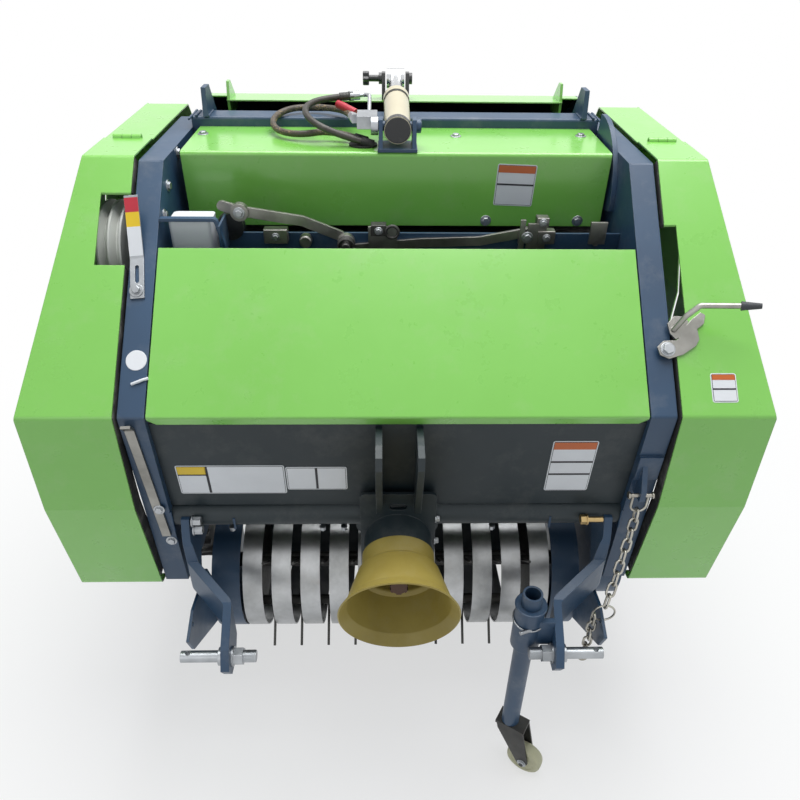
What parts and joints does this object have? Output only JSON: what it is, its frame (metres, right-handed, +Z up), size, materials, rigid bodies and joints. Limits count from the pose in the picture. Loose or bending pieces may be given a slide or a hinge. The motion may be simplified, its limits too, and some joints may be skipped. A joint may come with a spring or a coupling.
{
  "type": "mini round baler, three-point mounted, full size",
  "caption": "Mini round baler for a small tractor: green covers on a slate-blue frame, spring-tine pickup, PTO shield, hitch arms, castor jack and an opening tailgate.",
  "frame": {"origin": "centre of the bounding box on the floor", "axes": "X to the right seen from the tractor, Y back from the tractor, Z up"},
  "size_m": [1.308, 1.282, 1.321],
  "materials": {
    "green_paint": "gloss",
    "slate_paint": "satin",
    "zinc": "zinc plated",
    "shield_yellow": "moulded",
    "tyre_rubber": "matte",
    "rim_paint": "satin",
    "castor_nylon": "moulded",
    "black_paint": "satin",
    "chrome_rod": "polished",
    "barrel_paint": "gloss",
    "dark_steel": "oiled",
    "white_plastic": "moulded",
    "pulley_paint": "satin",
    "hose_rubber": "braided",
    "grip_rubber": "matte"
  },
  "bodies": {
    "frame": {"side_frame_left": "slate_paint", "side_frame_right": "slate_paint", "chamber_rollers_front": "dark_steel", "front_cross_tube": "slate_paint", "front_panel": "slate_paint", "hitch_mast": "slate_paint", "gearbox": "dark_steel", "pto_shield": "shield_yellow", "hood_hinge_bar": "slate_paint", "upper_hood": "green_paint", "top_beam": "slate_paint", "cylinder_bracket": "slate_paint", "pickup_bands": "zinc", "pickup_side_left": "slate_paint", "pickup_side_right": "slate_paint", "pickup_drive_guard": "slate_paint", "axle_beam": "slate_paint", "jack_sleeve": "slate_paint", "twine_rail": "slate_paint", "twine_box": "white_plastic", "twine_arms": "zinc", "crescent_plate": "slate_paint", "hitch_arm_left": "slate_paint", "hitch_arm_right": "slate_paint", "hitch_pin_left": "zinc", "hitch_pin_right": "zinc", "tailgate_bracket_left": "slate_paint", "tailgate_bracket_right": "slate_paint", "cover_rear_left": "green_paint", "cover_rear_right": "green_paint", "hose_front": "hose_rubber", "hose_rear": "hose_rubber", "hose_grommet": "hose_rubber", "hose_fittings": "zinc", "indicator_bar": "zinc", "side_lever": "zinc", "safety_chain": "zinc", "roller_drive": "dark_steel"},
    "tailgate": {"tailgate_skin": "green_paint", "tailgate_lug": "black_paint", "tailgate_side_left": "slate_paint", "tailgate_side_right": "slate_paint", "chamber_rollers_rear": "dark_steel"},
    "cylinder_barrel": {"cylinder_barrel": "barrel_paint"},
    "cylinder_rod": {"cylinder_rod": "chrome_rod"},
    "front_hood": {"front_hood": "green_paint"},
    "cover_left": {"cover_door_left": "green_paint"},
    "cover_right": {"cover_door_right": "green_paint", "latch_lever": "zinc", "latch_grip": "grip_rubber"},
    "pto_shaft": {"pto_shaft": "dark_steel"},
    "pickup_reel": {"pickup_reel": "dark_steel"},
    "v_pulley": {"v_pulley": "pulley_paint"},
    "wheel_left": {"tyre_left": "tyre_rubber", "rim_left": "rim_paint"},
    "wheel_right": {"tyre_right": "tyre_rubber", "rim_right": "rim_paint"},
    "jack_leg": {"jack_leg": "slate_paint"},
    "castor_fork": {"castor_fork": "dark_steel"},
    "castor_wheel": {"castor_wheel": "castor_nylon"}
  },
  "joints": [
    {"name": "tailgate_hinge", "type": "hinge", "parent": "frame", "child": "tailgate", "pos_m": [0, 0.238, 1.205], "axis": [1, 0, 0], "range_deg": [0, 50]},
    {"name": "cylinder_pivot", "type": "hinge", "parent": "frame", "child": "cylinder_barrel", "pos_m": [0, -0.007, 1.272], "axis": [1, 0, 0], "range_deg": [-0.5, 6.92]},
    {"name": "cylinder_stroke", "type": "slide", "parent": "cylinder_barrel", "child": "cylinder_rod", "axis": [0, 0.9959, 0.09], "range_m": [-0.0938, 0.001]},
    {"name": "front_hood_hinge", "type": "hinge", "parent": "frame", "child": "front_hood", "pos_m": [0, -0.235, 1.07933], "axis": [-1, 0, 0], "range_deg": [0, 75]},
    {"name": "cover_left_hinge", "type": "hinge", "parent": "frame", "child": "cover_left", "pos_m": [-0.538, 0.0305, 1.237], "axis": [-1, 0, 0], "range_deg": [0, 70]},
    {"name": "cover_right_hinge", "type": "hinge", "parent": "frame", "child": "cover_right", "pos_m": [0.538, 0.0305, 1.237], "axis": [-1, 0, 0], "range_deg": [0, 70]},
    {"name": "pto_spin", "type": "hinge", "parent": "frame", "child": "pto_shaft", "pos_m": [0, -0.569, 0.592], "axis": [0, -1, 0], "continuous": true},
    {"name": "pickup_spin", "type": "hinge", "parent": "frame", "child": "pickup_reel", "pos_m": [0, -0.257, 0.33], "axis": [1, 0, 0], "continuous": true},
    {"name": "v_pulley_spin", "type": "hinge", "parent": "frame", "child": "v_pulley", "pos_m": [-0.508, -0.118, 1.058], "axis": [1, 0, 0], "continuous": true},
    {"name": "wheel_left_spin", "type": "hinge", "parent": "frame", "child": "wheel_left", "pos_m": [-0.5495, 0.143, 0.2], "axis": [1, 0, 0], "continuous": true},
    {"name": "wheel_right_spin", "type": "hinge", "parent": "frame", "child": "wheel_right", "pos_m": [0.5495, 0.143, 0.2], "axis": [1, 0, 0], "continuous": true},
    {"name": "jack_slide", "type": "slide", "parent": "frame", "child": "jack_leg", "axis": [0, 0, 1], "range_m": [0, 0.24]},
    {"name": "castor_swivel", "type": "hinge", "parent": "jack_leg", "child": "castor_fork", "pos_m": [0.252, -0.565, 0.15], "axis": [0, 0, 1], "continuous": true},
    {"name": "castor_spin", "type": "hinge", "parent": "castor_fork", "child": "castor_wheel", "pos_m": [0.29271, -0.59044, 0.04], "axis": [-0.5299, -0.848, 0], "continuous": true}
  ],
  "couplings": [
    {"joint": "cylinder_pivot", "follows": "tailgate_hinge", "ratio": 0.12841},
    {"joint": "cylinder_stroke", "follows": "tailgate_hinge", "m_per_rad": -0.10635}
  ]
}
